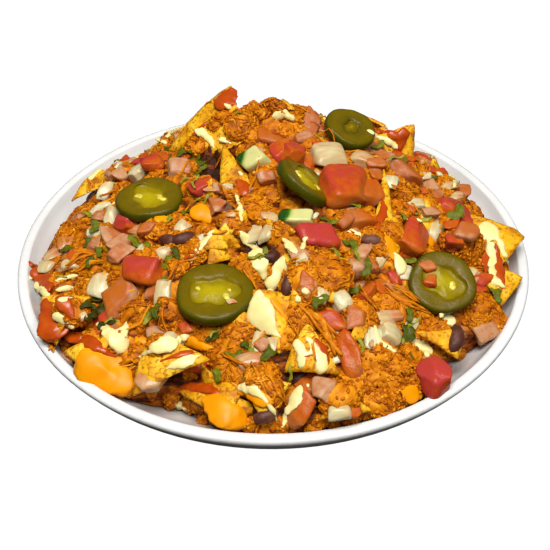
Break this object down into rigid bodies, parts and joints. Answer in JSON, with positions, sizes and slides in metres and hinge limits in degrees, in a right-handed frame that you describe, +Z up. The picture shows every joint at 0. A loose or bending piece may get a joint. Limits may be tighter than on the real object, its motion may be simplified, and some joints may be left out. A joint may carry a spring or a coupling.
{
  "type": "nachos",
  "caption": "Heaped loaded nachos with chicken, jalapeno slices, tomato, onion, beans and cheese sauce in a shallow round coupe bowl.",
  "frame": {"origin": "middle of the bowl's footprint, on the surface that it stands on", "axes": "+Z up; -Y towards the viewer; +X to the viewer's right"},
  "size_m": [0.23, 0.23, 0.0795],
  "materials": {
    "glazed_bowl": "white glaze, gloss",
    "shredded_chicken": "moist pulled meat",
    "tortilla_chip": "fried corn, fine blisters",
    "jalapeno": "pickled, wet",
    "tomato": "cut and wet",
    "onion": "translucent, wet",
    "cucumber": "cut flesh with green skin",
    "cheese_sauce": "smooth and glossy",
    "cream": "smooth pale drizzle",
    "hot_sauce": "thin and glossy",
    "bean": "cooked skin",
    "coriander": "fresh leaf"
  },
  "bodies": {
    "root": {"plate": "glazed_bowl", "nacho_heap": "shredded_chicken", "jalapeno_front": "jalapeno", "jalapeno_right": "jalapeno", "jalapeno_left": "jalapeno", "jalapeno_middle": "jalapeno", "jalapeno_back": "jalapeno", "tomato_big": "tomato", "tomato_ripe": "tomato", "tomato_summit": "tomato", "tomato_flat": "tomato", "tomato_back_right": "tomato", "tomato_dark": "tomato", "tomato_right": "tomato", "tomato_round": "tomato", "tomato_left": "tomato", "tomato_glassy": "tomato", "tomato_long": "tomato", "tomato_strip": "tomato", "tomato_pink": "tomato", "tomato_small": "tomato", "tomato_top": "tomato", "tomato_back_left": "tomato", "tomato_behind_left": "tomato", "tomato_behind_right": "tomato", "onion_cluster": "onion", "onion_back_left": "onion", "onion_left": "onion", "onion_slice": "onion", "onion_large": "onion", "onion_front_right": "onion", "onion_yellow": "onion", "onion_middle": "onion", "onion_behind": "onion", "cucumber_piece": "cucumber", "green_pepper": "cucumber", "chip_peak": "tortilla_chip", "chip_arch": "tortilla_chip", "chip_back_right": "tortilla_chip", "chip_right_tip": "tortilla_chip", "chip_right_low": "tortilla_chip", "chip_strip": "tortilla_chip", "chip_left_red": "tortilla_chip", "chip_left_low": "tortilla_chip", "chip_fold": "tortilla_chip", "chip_front_cheese": "tortilla_chip", "chip_front_bean": "tortilla_chip", "chip_small": "tortilla_chip", "chip_middle": "tortilla_chip", "chip_shell": "tortilla_chip", "chip_front_low": "tortilla_chip", "chip_left": "tortilla_chip", "chip_cream": "tortilla_chip", "chip_low_right": "tortilla_chip", "chip_back_top": "tortilla_chip", "chip_behind_left": "tortilla_chip", "chip_behind_right": "tortilla_chip", "chip_behind": "tortilla_chip"}
  },
  "joints": []
}
